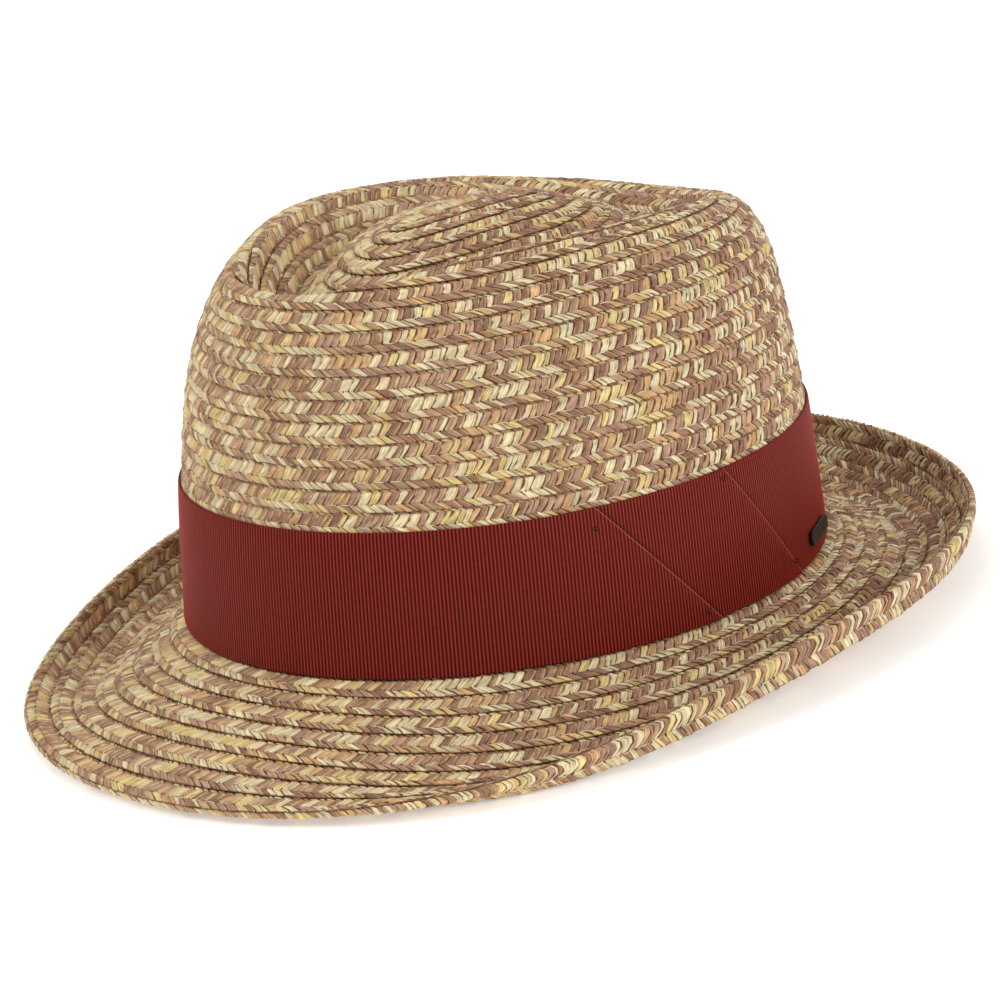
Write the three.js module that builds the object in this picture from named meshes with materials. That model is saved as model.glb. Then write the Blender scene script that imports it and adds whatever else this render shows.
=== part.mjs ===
import * as THREE from 'three';

// Trilby sewn from one long straw braid, with a ribbon band and a small plain tab.
// Millimetres, +Z up, the front of the hat towards -Y and the wearer's left towards +X.
// An angle round the hat runs from 0 at the front, over 90 at the wearer's left, to 180 at the back.

// Driving dimensions
const HEAD_HALF_LENGTH = 101.7;
const HEAD_HALF_WIDTH = 87.5;
const CROWN_HEIGHT = 110;
const BRIM_WIDTH = 56;
const STRAW_THICKNESS = 2.4;
const BRAID_ROW = 6.6;
const BRAID_LIP = 0.7;
const BRAID_LIP_RUN = 0.8;
const RIBBON_WIDTH = 41;
const RIBBON_THICKNESS = 0.9;
const PLEAT_STEP = 0.7;
const PLEAT_RUN = 16;
const TAB_LENGTH = 20;
const TAB_HEIGHT = 4.6;
const TAB_THICKNESS = 1;
const TAB_ABOVE_BRIM = 7;
const SEWN_GAP = 0.3;
const RESTING_FLAT = 0.7;

// How fine the meshes are
const COLUMNS = 60;
const CURVE_STEPS = 8;
const BRIM_STEPS = 48;
const LINING_RINGS = 11;
const BRIM_UNDERSIDE_RINGS = 7;
const RIBBON_RINGS = 6;
const TAB_SEGMENTS = 10;

// Search for the pitch at which the hat rests, in degrees
const MOST_TILT = 8;
const TILT_HALVINGS = 40;

// Shape of the head opening: the front is this share wider than an oval, the back as much narrower
const FRONT_WIDENING = 0.03;

// Places on the ribbon, in degrees round the hat
const PLEATS = [
  { atTop: 62, atBottom: 84 },
  { atTop: 88.5, atBottom: 108 },
];
const TAB_ANGLE = 118.5;
const FOLD_SHARPNESS = 0.35;

// Rings of the crown, from the centre of the top, over the mound, the valley and the ridge, down the wall.
// front and back are shares of HEAD_HALF_LENGTH, side of HEAD_HALF_WIDTH, and the heights of CROWN_HEIGHT.
// pinch draws the ring in at both sides of the front, as a share of its width.
// Each line gives front, back and side, then pinch, then the height at the front, the side and the back.
const CROWN_RINGS = [
  [0.29, 0.19, 0.015, 0, 1.005, 1.01, 1], // centre
  [0.36, 0.27, 0.11, 0, 0.995, 1.005, 0.975], // mound top
  [0.49, 0.5, 0.28, 0, 0.93, 0.96, 0.895], // mound side
  [0.6, 0.6, 0.4, 0.05, 0.845, 0.89, 0.84], // mound foot
  [0.68, 0.66, 0.49, 0.1, 0.8, 0.862, 0.8], // valley
  [0.765, 0.73, 0.557, 0.12, 0.85, 0.926, 0.845], // valley rise
  [0.821, 0.815, 0.632, 0.14, 0.94, 0.984, 0.873], // ridge
  [0.859, 0.885, 0.725, 0.12, 0.891, 0.969, 0.852], // ridge outside
  [0.879, 0.925, 0.84, 0.06, 0.782, 0.865, 0.783], // shoulder
  [0.917, 0.942, 0.918, 0.02, 0.64, 0.69, 0.62], // upper wall
  [0.966, 0.969, 0.968, 0, 0.38, 0.39, 0.38], // lower wall
  [1, 1, 1, 0, 0, 0, 0], // foot
].map(([front, back, side, pinch, upFront, upSide, upBack]) => (
  { front, back, side, pinch, upFront, upSide, upBack }
));

// Sections of the brim, one each 45 degrees from the front to the back, the same on both sides.
// width is a share of BRIM_WIDTH along the straw, and curlFrom a share of that width.
// The slopes are degrees above level: the inner one up to curlFrom, the rim one at the edge.
const BRIM_SECTIONS = [
  { width: 1.018, innerSlope: -17, rimSlope: -30, curlFrom: 0.51 }, // front
  { width: 0.926, innerSlope: -35, rimSlope: 48.5, curlFrom: 0.51 }, // front quarter
  { width: 0.82, innerSlope: -31.5, rimSlope: 88, curlFrom: 0.37 }, // side
  { width: 0.904, innerSlope: -15, rimSlope: 77, curlFrom: 0.46 }, // back quarter
  { width: 0.913, innerSlope: -25.5, rimSlope: 79.5, curlFrom: 0.27 }, // back
];

const radians = THREE.MathUtils.degToRad;
const CROWN_MATERIAL = { color: 0xb4977a, roughness: 0.8, metalness: 0 };
const RIBBON_MATERIAL = { color: 0x8e2c22, roughness: 0.7, metalness: 0 };
const TAB_MATERIAL = { color: 0x1b1b1d, roughness: 0.35, metalness: 0.9 };

// A value that changes evenly round the hat and takes each section's number at its own angle
function roundTheHat(sections, column, angle) {
  const last = sections.length - 1;
  let value = 0;
  for (let wave = 0; wave <= last; wave += 1) {
    let strength = 0;
    sections.forEach((section, i) => {
      const share = i === 0 || i === last ? 0.5 : 1;
      strength += share * section[column] * Math.cos((Math.PI * wave * i) / last);
    });
    const halved = wave === 0 || wave === last ? 2 : 1;
    value += ((2 * strength) / (last * halved)) * Math.cos(wave * angle);
  }
  return value;
}

// One ring of the crown at an angle round the hat
function ringPoint(ring, angle) {
  const ahead = Math.cos(angle);
  const front = Math.max(ahead, 0) ** 2;
  const widening = 1 + FRONT_WIDENING * ahead;
  const drawnIn = 1 - ring.pinch * 4 * front * (1 - front);
  const reach = ahead > 0 ? ring.front : ring.back;
  const tilt = (ring.upFront - ring.upBack) / 2;
  const bow = (ring.upFront + ring.upBack) / 2 - ring.upSide;
  return new THREE.Vector3(
    HEAD_HALF_WIDTH * ring.side * Math.sin(angle) * widening * drawnIn,
    -HEAD_HALF_LENGTH * reach * ahead,
    CROWN_HEIGHT * (ring.upSide + tilt * ahead + bow * ahead * ahead),
  );
}

// A profile is a list of points with the length of straw up to each one
function measured(points) {
  const lengths = [0];
  for (let i = 1; i < points.length; i += 1) {
    lengths.push(lengths[i - 1] + points[i].distanceTo(points[i - 1]));
  }
  return { points, lengths, total: lengths[lengths.length - 1] };
}

// The point of a profile at a length along it
function along(profile, length) {
  const { points, lengths } = profile;
  let i = 1;
  while (i < lengths.length - 1 && lengths[i] < length) i += 1;
  const share = (length - lengths[i - 1]) / (lengths[i] - lengths[i - 1]);
  return points[i - 1].clone().lerp(points[i], THREE.MathUtils.clamp(share, 0, 1));
}

// The crown's profile at an angle: a smooth curve through its rings, from the centre to the foot
function crownProfile(angle) {
  const knots = CROWN_RINGS.map((ring) => ringPoint(ring, angle));
  const curve = new THREE.CatmullRomCurve3(knots, false, 'centripetal');
  return measured(curve.getPoints((knots.length - 1) * CURVE_STEPS));
}

// The length along a crown profile at which the wall reaches a height
function lengthAtHeight(profile, height) {
  const { points, lengths } = profile;
  let i = points.length - 1;
  while (i > 1 && points[i - 1].z < height) i -= 1;
  const share = (height - points[i].z) / (points[i - 1].z - points[i].z);
  return lengths[i] + (lengths[i - 1] - lengths[i]) * share;
}

// The foot of the crown at an angle, and the level direction straight out from it
function footPoint(angle) {
  return ringPoint(CROWN_RINGS[CROWN_RINGS.length - 1], angle);
}

function outward(angle) {
  const across = HEAD_HALF_LENGTH * Math.sin(angle);
  return new THREE.Vector3(across, -HEAD_HALF_WIDTH * Math.cos(angle), 0).normalize();
}

// The brim's profile at an angle: it starts at the foot, falls at the inner slope and curls to the rim slope
function brimProfile(angle) {
  const width = BRIM_WIDTH * roundTheHat(BRIM_SECTIONS, 'width', angle);
  const inner = roundTheHat(BRIM_SECTIONS, 'innerSlope', angle);
  const rim = roundTheHat(BRIM_SECTIONS, 'rimSlope', angle);
  const curlFrom = roundTheHat(BRIM_SECTIONS, 'curlFrom', angle);
  const out = outward(angle);
  const step = width / BRIM_STEPS;
  const points = [footPoint(angle)];
  for (let i = 0; i < BRIM_STEPS; i += 1) {
    const share = (i + 0.5) / BRIM_STEPS;
    const curl = THREE.MathUtils.clamp((share - curlFrom) / (1 - curlFrom), 0, 1);
    const slope = radians(inner + (rim - inner) * curl);
    const next = points[i].clone().addScaledVector(out, step * Math.cos(slope));
    next.z += step * Math.sin(slope);
    points.push(next);
  }
  return measured(points);
}

// Columns of the hat: each keeps its profiles and those of two angles close by, for the straw's normal.
// CLOSE_BY is the share of a profile's length over which its direction is measured.
const NEARBY = radians(0.5);
const CLOSE_BY = 0.004;
const columns = [];
for (let i = 0; i < COLUMNS; i += 1) {
  const angle = (2 * Math.PI * i) / COLUMNS;
  const close = [angle - NEARBY, angle + NEARBY];
  columns.push({
    angle,
    crown: { here: crownProfile(angle), beside: close.map(crownProfile) },
    brim: { here: brimProfile(angle), beside: close.map(brimProfile) },
  });
}

// A point on the straw at a share of the profile's length, moved out by an offset along the normal
function onStraw(sheet, share, offset) {
  const { here, beside } = sheet;
  const point = along(here, share * here.total);
  const before = along(here, (share - CLOSE_BY) * here.total);
  const down = along(here, (share + CLOSE_BY) * here.total).sub(before);
  const [left, right] = beside.map((profile) => along(profile, share * profile.total));
  const normal = down.cross(right.sub(left)).normalize();
  return point.addScaledVector(normal, offset);
}

// Meshes from rings of points: neighbouring rings are joined by strips, all wound the same way
function fromRings(rings, closing) {
  const positions = [];
  const triangles = [];
  const count = rings[0].length;
  rings.forEach((ring) => ring.forEach((point) => positions.push(point.x, point.y, point.z)));
  const joinedRings = closing === 'tube' ? rings.length : rings.length - 1;
  for (let r = 0; r < joinedRings; r += 1) {
    const below = ((r + 1) % rings.length) * count;
    for (let i = 0; i < count; i += 1) {
      const next = (i + 1) % count;
      triangles.push(r * count + i, below + i, below + next);
      triangles.push(r * count + i, below + next, r * count + next);
    }
  }
  if (closing === 'caps') {
    seam(triangles, 0, count, true);
    seam(triangles, (rings.length - 1) * count, count, false);
  }
  const geometry = new THREE.BufferGeometry();
  geometry.setAttribute('position', new THREE.Float32BufferAttribute(positions, 3));
  geometry.setIndex(triangles);
  geometry.computeVertexNormals();
  return geometry;
}

// Closes a narrow ring by strips between its left and right halves, which mirror each other
function seam(triangles, start, count, facingUp) {
  for (let i = 0; i < count / 2; i += 1) {
    const left = start + i;
    const leftNext = start + i + 1;
    const right = start + ((count - i) % count);
    const rightNext = start + ((count - i - 1) % count);
    const quad = [[left, leftNext, rightNext], [left, rightNext, right]];
    quad.forEach((corners) => {
      if (new Set(corners).size < 3) return;
      triangles.push(...(facingUp ? corners : corners.reverse()));
    });
  }
}

function part(name, geometry, material) {
  const mesh = new THREE.Mesh(geometry, new THREE.MeshStandardMaterial(material));
  mesh.name = name;
  return mesh;
}

// Braid rows as overlapping steps: each row swells towards its lower edge and stands over the next one
function braidRings(rows, lengthOf, place) {
  const rings = [];
  for (let row = 0; row < rows; row += 1) {
    const lipShare = BRAID_LIP_RUN / BRAID_ROW;
    const lip = (row + 1 - lipShare) / rows;
    rings.push(columns.map((column) => place(column, lengthOf(column, row / rows), 0)));
    rings.push(columns.map((column) => place(column, lengthOf(column, lip), BRAID_LIP)));
  }
  return rings;
}

// Crown: braid rows down to the ribbon's top edge, plain straw under the ribbon, a smooth inside.
// Its rows overlap a little more than the brim's, so their number is rounded up.
function crown() {
  const ribbonTop = SEWN_GAP + RIBBON_WIDTH;
  const shareAtRibbon = ({ crown: { here } }) => lengthAtHeight(here, ribbonTop) / here.total;
  const side = columns[COLUMNS / 4];
  const rows = Math.ceil((shareAtRibbon(side) * side.crown.here.total) / BRAID_ROW);
  const place = (column, share, offset) => onStraw(column.crown, share, offset);
  const rings = braidRings(rows, (column, share) => share * shareAtRibbon(column), place);
  rings.push(columns.map((column) => place(column, shareAtRibbon(column), 0)));
  rings.push(columns.map((column) => place(column, (shareAtRibbon(column) + 1) / 2, 0)));
  rings.push(columns.map((column) => {
    const foot = footPoint(column.angle);
    foot.z = SEWN_GAP;
    return foot;
  }));
  rings.push(columns.map((column) => {
    const foot = footPoint(column.angle).addScaledVector(outward(column.angle), -STRAW_THICKNESS);
    foot.z = SEWN_GAP;
    return foot;
  }));
  for (let i = LINING_RINGS - 1; i >= 0; i -= 1) {
    rings.push(columns.map((column) => place(column, i / LINING_RINGS, -STRAW_THICKNESS)));
  }
  return part('crown', fromRings(rings, 'caps'), CROWN_MATERIAL);
}

// Brim: a level seat under the crown wall, braid rows on top, a smooth underside
function brim() {
  const place = (column, share, offset) => onStraw(column.brim, share, offset);
  const rows = Math.round(BRIM_WIDTH / BRAID_ROW);
  const seat = (column, inset, depth) => {
    const point = footPoint(column.angle).addScaledVector(outward(column.angle), -inset);
    point.z -= depth;
    return point;
  };
  const rings = [columns.map((column) => seat(column, STRAW_THICKNESS, 0))];
  rings.push(columns.map((column) => seat(column, 0, 0)));
  rings.push(...braidRings(rows, (column, share) => share, place).slice(1));
  rings.push(columns.map((column) => place(column, 1, 0)));
  for (let i = BRIM_UNDERSIDE_RINGS; i > 0; i -= 1) {
    rings.push(columns.map((column) => place(column, i / BRIM_UNDERSIDE_RINGS, -STRAW_THICKNESS)));
  }
  rings.push(columns.map((column) => seat(column, STRAW_THICKNESS, STRAW_THICKNESS)));
  return part('brim', fromRings(rings, 'tube'), CROWN_MATERIAL);
}

// A point on the crown wall at a height, moved level outwards by an offset
function onWall(angle, height, offset) {
  const profile = crownProfile(angle);
  return along(profile, lengthAtHeight(profile, height)).addScaledVector(outward(angle), offset);
}

// How far the ribbon stands out at an angle because of its pleats, at a share of its height
function pleatStand(angle, up) {
  let stand = 0;
  PLEATS.forEach((pleat) => {
    const fold = radians(THREE.MathUtils.lerp(pleat.atBottom, pleat.atTop, up));
    const run = radians(PLEAT_RUN);
    if (angle <= fold && angle > fold - run) stand = (PLEAT_STEP * (angle - fold + run)) / run;
  });
  return stand;
}

// Angles of the ribbon's columns at a share of its height: they lean where the pleats lean,
// and each fold has one column just before it and one just after it
function ribbonAngles(up) {
  const upright = (angle) => ({ atTop: angle, atBottom: angle });
  const bends = [upright(0), ...PLEATS, upright(180), upright(360)];
  const angles = [];
  for (let b = 0; b < bends.length - 1; b += 1) {
    const [start, end] = [bends[b], bends[b + 1]];
    const evenSpan = (end.atTop + end.atBottom - start.atTop - start.atBottom) / 2;
    const steps = Math.round((COLUMNS * evenSpan) / 360);
    const from = radians(THREE.MathUtils.lerp(start.atBottom, start.atTop, up));
    const to = radians(THREE.MathUtils.lerp(end.atBottom, end.atTop, up));
    const startsAtFold = b > 0 && b <= PLEATS.length;
    const endsAtFold = b < PLEATS.length;
    const first = from + (startsAtFold ? radians(FOLD_SHARPNESS) : 0);
    for (let i = 0; i < steps; i += 1) angles.push(first + ((to - first) * i) / steps);
    if (endsAtFold) angles.push(to);
  }
  return angles;
}

// Ribbon: a flat band round the foot of the crown, with pleats that stand a little out
function ribbon() {
  const inside = SEWN_GAP;
  const heights = Array.from({ length: RIBBON_RINGS }, (_, i) => i / (RIBBON_RINGS - 1));
  const ring = (up, offset, pleated) => ribbonAngles(up).map((angle) => {
    const stand = pleated ? pleatStand(angle, up) : 0;
    return onWall(angle, SEWN_GAP + RIBBON_WIDTH * up, inside + offset + stand);
  });
  const outer = heights.map((up) => ring(up, RIBBON_THICKNESS, true)).reverse();
  const inner = heights.map((up) => ring(up, 0, false));
  return part('ribbon', fromRings([...outer, ...inner], 'tube'), RIBBON_MATERIAL);
}

// Tab: a plain oblong bar with round ends, set flat on the ribbon
function tab() {
  const shape = new THREE.Shape();
  const round = TAB_HEIGHT / 2;
  const straight = TAB_LENGTH / 2 - round;
  shape.absarc(straight, 0, round, -Math.PI / 2, Math.PI / 2, false);
  shape.absarc(-straight, 0, round, Math.PI / 2, (3 * Math.PI) / 2, false);
  const geometry = new THREE.ExtrudeGeometry(shape, {
    depth: TAB_THICKNESS,
    bevelEnabled: false,
    curveSegments: TAB_SEGMENTS,
  });
  const mesh = part('tab', geometry, TAB_MATERIAL);
  const angle = radians(TAB_ANGLE);
  const seat = onWall(angle, TAB_ABOVE_BRIM, 2 * SEWN_GAP + RIBBON_THICKNESS);
  const out = outward(angle);
  const up = onWall(angle, RIBBON_WIDTH, 0).sub(onWall(angle, 0, 0)).normalize();
  const sideways = new THREE.Vector3().crossVectors(up, out).normalize();
  const face = new THREE.Vector3().crossVectors(sideways, up);
  mesh.quaternion.setFromRotationMatrix(new THREE.Matrix4().makeBasis(sideways, up, face));
  mesh.position.copy(seat);
  return mesh;
}

// The pitch at which the hat comes to rest: its lowest points ahead of and behind the middle are level
function restingPitch(geometry) {
  const position = geometry.getAttribute('position');
  const lowest = (pitch, ahead) => {
    let low = Infinity;
    for (let i = 0; i < position.count; i += 1) {
      const y = position.getY(i);
      const height = y * Math.sin(pitch) + position.getZ(i) * Math.cos(pitch);
      if (y < 0 === ahead) low = Math.min(low, height);
    }
    return low;
  };
  let frontTooLow = radians(-MOST_TILT);
  let backTooLow = radians(MOST_TILT);
  for (let i = 0; i < TILT_HALVINGS; i += 1) {
    const pitch = (frontTooLow + backTooLow) / 2;
    if (lowest(pitch, true) > lowest(pitch, false)) frontTooLow = pitch;
    else backTooLow = pitch;
  }
  return (frontTooLow + backTooLow) / 2;
}

// Presses what lies under the floor flat onto it, a little of the straw at the lowest places
function pressOntoFloor(mesh) {
  const position = mesh.geometry.getAttribute('position');
  const point = new THREE.Vector3();
  for (let i = 0; i < position.count; i += 1) {
    point.fromBufferAttribute(position, i);
    mesh.localToWorld(point);
    if (point.z < 0) {
      point.z = 0;
      mesh.worldToLocal(point);
      position.setXYZ(i, point.x, point.y, point.z);
    }
  }
  mesh.geometry.computeVertexNormals();
}

// The hat stands on the floor, with the middle of its outline over the origin
const hat = new THREE.Group();
const sewnBrim = brim();
hat.add(crown(), sewnBrim, ribbon(), tab());
hat.rotation.x = restingPitch(sewnBrim.geometry);
const outline = new THREE.Box3().setFromObject(hat, true);
const middle = outline.getCenter(new THREE.Vector3());
hat.position.set(-middle.x, -middle.y, -outline.min.z - RESTING_FLAT);
hat.updateMatrixWorld(true);
pressOntoFloor(sewnBrim);

export default hat;
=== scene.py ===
import math

import bmesh
import bpy
import numpy as np
from mathutils import Matrix, Vector


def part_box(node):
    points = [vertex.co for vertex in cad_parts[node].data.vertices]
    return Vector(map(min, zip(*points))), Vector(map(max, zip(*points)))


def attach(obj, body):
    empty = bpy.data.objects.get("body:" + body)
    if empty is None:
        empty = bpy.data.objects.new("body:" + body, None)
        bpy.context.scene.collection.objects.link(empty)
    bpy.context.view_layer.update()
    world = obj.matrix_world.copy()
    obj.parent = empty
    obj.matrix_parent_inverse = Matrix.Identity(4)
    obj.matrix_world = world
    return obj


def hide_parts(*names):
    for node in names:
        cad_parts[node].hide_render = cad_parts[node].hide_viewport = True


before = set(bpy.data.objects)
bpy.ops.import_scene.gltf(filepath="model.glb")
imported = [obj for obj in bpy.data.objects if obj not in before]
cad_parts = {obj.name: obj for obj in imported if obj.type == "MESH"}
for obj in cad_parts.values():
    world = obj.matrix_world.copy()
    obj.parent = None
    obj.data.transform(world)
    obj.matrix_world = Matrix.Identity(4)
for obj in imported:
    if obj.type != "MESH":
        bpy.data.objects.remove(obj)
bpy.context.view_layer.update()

# Sewn straw trilby. Sizes are millimetres in the hat's own frame: the crown's foot at height 0,
# the front towards -Y, the wearer's left towards +X. An angle round the hat is 0 at the front,
# 90 degrees at the wearer's left and 180 at the back.
MM = 0.001

# Driving dimensions, the same as the solids have
HEAD_HALF_LENGTH = 101.7
HEAD_HALF_WIDTH = 87.5
CROWN_HEIGHT = 110
BRIM_WIDTH = 56
STRAW_THICKNESS = 2.4
BRAID_ROW = 6.6
RIBBON_WIDTH = 41
RIBBON_THICKNESS = 0.9
PLEAT_STEP = 0.7
PLEAT_RUN = 16
TAB_LENGTH = 20
TAB_HEIGHT = 4.6
TAB_THICKNESS = 1
TAB_ABOVE_BRIM = 7
TAB_ANGLE = 118.5
SEWN_GAP = 0.3
RESTING_FLAT = 0.7
FRONT_WIDENING = 0.03
RIBBON_TOP = SEWN_GAP + RIBBON_WIDTH

# The two pleats of the ribbon: where each fold line meets the top and the bottom edge, in degrees
PLEATS = [(62.0, 84.0), (88.5, 108.0)]

# Rings of the crown, from the centre of the top down to the foot: reach to the front, to the back and
# to the side, pinch at the front, and height at the front, the side and the back, all as shares.
CROWN_RINGS = [
    ("centre", 0.29, 0.19, 0.015, 0, 1.005, 1.01, 1),
    ("mound top", 0.36, 0.27, 0.11, 0, 0.995, 1.005, 0.975),
    ("mound side", 0.49, 0.5, 0.28, 0, 0.93, 0.96, 0.895),
    ("mound foot", 0.6, 0.6, 0.4, 0.05, 0.845, 0.89, 0.84),
    ("valley", 0.68, 0.66, 0.49, 0.1, 0.8, 0.862, 0.8),
    ("valley rise", 0.765, 0.73, 0.557, 0.12, 0.85, 0.926, 0.845),
    ("ridge", 0.821, 0.815, 0.632, 0.14, 0.94, 0.984, 0.873),
    ("ridge outside", 0.859, 0.885, 0.725, 0.12, 0.891, 0.969, 0.852),
    ("shoulder", 0.879, 0.925, 0.84, 0.06, 0.782, 0.865, 0.783),
    ("upper wall", 0.917, 0.942, 0.918, 0.02, 0.64, 0.69, 0.62),
    ("lower wall", 0.966, 0.969, 0.968, 0, 0.38, 0.39, 0.38),
    ("foot", 1, 1, 1, 0, 0, 0, 0),
]

# Sections of the brim, one each 45 degrees from the front to the back: width as a share of BRIM_WIDTH,
# slope at the crown and at the rim in degrees, and the share of the width where the curl starts.
BRIM_SECTIONS = [
    ("front", 1.018, -17, -30, 0.51),
    ("front quarter", 0.926, -35, 48.5, 0.51),
    ("side", 0.82, -31.5, 88, 0.37),
    ("back quarter", 0.904, -15, 77, 0.46),
    ("back", 0.913, -25.5, 79.5, 0.27),
]

# How finely the straw's surface is worked out before the braid is laid on it
ANGLE_STEPS = 720
CURVE_STEPS = 10
BRIM_STEPS = 60
SHARE_STEPS = 320

TURN = 2 * math.pi


# The straw's surface

def round_the_hat(column, angle):
    """A value that changes evenly round the hat and takes each brim section's number at its angle."""
    values = [section[column] for section in BRIM_SECTIONS]
    last = len(values) - 1
    total = np.zeros_like(angle)
    for wave in range(last + 1):
        strength = 0
        for i, value in enumerate(values):
            share = 0.5 if i in (0, last) else 1
            strength += share * value * math.cos(math.pi * wave * i / last)
        halved = 2 if wave in (0, last) else 1
        total = total + 2 * strength / (last * halved) * np.cos(wave * angle)
    return total


def crown_ring(ring, angle):
    """Points of one ring of the crown."""
    name, front, back, side, pinch, up_front, up_side, up_back = ring
    ahead = np.cos(angle)
    facing = np.maximum(ahead, 0) ** 2
    widening = 1 + FRONT_WIDENING * ahead
    drawn_in = 1 - pinch * 4 * facing * (1 - facing)
    reach = np.where(ahead > 0, front, back)
    tilt = (up_front - up_back) / 2
    bow = (up_front + up_back) / 2 - up_side
    x = HEAD_HALF_WIDTH * side * np.sin(angle) * widening * drawn_in
    y = -HEAD_HALF_LENGTH * reach * ahead
    z = CROWN_HEIGHT * (up_side + tilt * ahead + bow * ahead ** 2)
    return np.stack([x, y, z], -1)


def crown_profiles(angle):
    """Smooth curves through the rings, from the centre of the top to the foot, one for each angle."""
    knots = [crown_ring(ring, angle) for ring in CROWN_RINGS]
    before = 2 * knots[0] - knots[1]
    after = 2 * knots[-1] - knots[-2]
    knots = [before] + knots + [after]
    points = []
    for i in range(1, len(knots) - 2):
        a, b, c, d = knots[i - 1:i + 3]
        ab = np.linalg.norm(b - a, axis=1)[:, None] ** 0.5
        bc = np.linalg.norm(c - b, axis=1)[:, None] ** 0.5
        cd = np.linalg.norm(d - c, axis=1)[:, None] ** 0.5
        leave = ((b - a) / ab - (c - a) / (ab + bc) + (c - b) / bc) * bc
        arrive = ((c - b) / bc - (d - b) / (bc + cd) + (d - c) / cd) * bc
        for step in range(CURVE_STEPS):
            t = step / CURVE_STEPS
            points.append(
                (2 * t ** 3 - 3 * t ** 2 + 1) * b + (t ** 3 - 2 * t ** 2 + t) * leave
                + (3 * t ** 2 - 2 * t ** 3) * c + (t ** 3 - t ** 2) * arrive
            )
    points.append(knots[-2])
    return np.stack(points, 1)


def outward(angle):
    """The level direction straight out from the crown's foot."""
    across = HEAD_HALF_LENGTH * np.sin(angle)
    ahead = -HEAD_HALF_WIDTH * np.cos(angle)
    size = np.hypot(across, ahead)
    return np.stack([across / size, ahead / size, np.zeros_like(angle)], -1)


def brim_profiles(angle):
    """Brim curves that start at the foot, fall at the inner slope and curl to the rim slope."""
    width = BRIM_WIDTH * round_the_hat(1, angle)
    inner = round_the_hat(2, angle)
    rim = round_the_hat(3, angle)
    curl_from = round_the_hat(4, angle)
    out = outward(angle)
    step = (width / BRIM_STEPS)[:, None]
    point = crown_ring(CROWN_RINGS[-1], angle)
    points = [point]
    for i in range(BRIM_STEPS):
        share = (i + 0.5) / BRIM_STEPS
        curl = np.clip((share - curl_from) / (1 - curl_from), 0, 1)
        slope = np.radians(inner + (rim - inner) * curl)[:, None]
        point = point + out * step * np.cos(slope)
        point = point + np.array([0, 0, 1]) * step * np.sin(slope)
        points.append(point)
    return np.stack(points, 1)


def columns_beside(angle):
    """The table's columns on either side of an angle, and how far it lies towards the second."""
    turn = np.mod(angle, TURN) / TURN * ANGLE_STEPS
    column = np.floor(turn).astype(int)
    return column % ANGLE_STEPS, (column + 1) % ANGLE_STEPS, turn - column


class Straw:
    """A sheet of straw as a table over the angle round the hat and the share of its profile."""

    def __init__(self, profiles):
        angle = np.linspace(0, TURN, ANGLE_STEPS, endpoint=False)
        points = profiles(angle)
        steps = np.linalg.norm(np.diff(points, axis=1), axis=2)
        lengths = np.concatenate([np.zeros((ANGLE_STEPS, 1)), np.cumsum(steps, axis=1)], 1)
        self.total = lengths[:, -1]
        shares = np.linspace(0, 1, SHARE_STEPS + 1)
        table = np.empty((ANGLE_STEPS, SHARE_STEPS + 1, 3))
        for i in range(ANGLE_STEPS):
            for axis in range(3):
                table[i, :, axis] = np.interp(shares * self.total[i], lengths[i], points[i, :, axis])
        down = np.gradient(table, axis=1)
        across = np.roll(table, -1, 0) - np.roll(table, 1, 0)
        normal = np.cross(down, across)
        normal /= np.linalg.norm(normal, axis=2, keepdims=True)
        self.points = table
        self.down = down / np.linalg.norm(down, axis=2, keepdims=True)
        self.normals = normal

    def look_up(self, table, angle, share):
        """Values between the table's own angles and shares."""
        here, there, beside = columns_beside(angle)
        beside = beside[:, None]
        place = np.clip(share, 0, 1) * SHARE_STEPS
        row = np.minimum(np.floor(place).astype(int), SHARE_STEPS - 1)
        below = (place - row)[:, None]
        first = table[here, row] * (1 - below) + table[here, row + 1] * below
        second = table[there, row] * (1 - below) + table[there, row + 1] * below
        return first * (1 - beside) + second * beside

    def at(self, angle, share, offset):
        """Points at an angle and a share of the profile, moved out along the straw's normal."""
        normal = self.look_up(self.normals, angle, share)
        return self.look_up(self.points, angle, share) + normal * np.asarray(offset)[..., None]

    def length(self, angle):
        """The profile's length at an angle."""
        turn = np.mod(angle, TURN) / TURN * ANGLE_STEPS
        return np.interp(turn, np.arange(ANGLE_STEPS + 1), np.append(self.total, self.total[0]))


crown_straw = Straw(crown_profiles)
brim_straw = Straw(brim_profiles)


# Levels between the crown's foot and one row above the ribbon at which the wall is looked up
WALL_LEVELS = 40


def wall_shares():
    """The crown's share at which its wall reaches each level, for every angle of the table. The wall
    lies in the outer half of the profile."""
    heights = np.linspace(0, RIBBON_TOP + BRAID_ROW, WALL_LEVELS)
    half = SHARE_STEPS // 2
    shares = np.linspace(1, 0.5, half + 1)
    rows = crown_straw.points[:, half:, 2][:, ::-1]
    return heights, np.stack([np.interp(heights, row, shares) for row in rows])


WALL_HEIGHTS, WALL_SHARES = wall_shares()


def share_at_height(angle, height):
    """The crown's share at which the wall reaches a height."""
    here, there, beside = columns_beside(angle)
    level = np.broadcast_to(height, angle.shape) / WALL_HEIGHTS[-1] * (len(WALL_HEIGHTS) - 1)
    # It stays just short of the last level, so that there is one above
    level = np.clip(level, 0, len(WALL_HEIGHTS) - 1.001)
    low = np.floor(level).astype(int)
    up = level - low
    first = WALL_SHARES[here, low] * (1 - up) + WALL_SHARES[here, low + 1] * up
    second = WALL_SHARES[there, low] * (1 - up) + WALL_SHARES[there, low + 1] * up
    return first * (1 - beside) + second * beside


def on_wall(angle, height, offset):
    """Points on the crown's wall at a height, moved level outwards."""
    points = crown_straw.at(angle, share_at_height(angle, height), np.zeros_like(angle))
    return points + outward(angle) * np.asarray(offset)[..., None]


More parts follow.
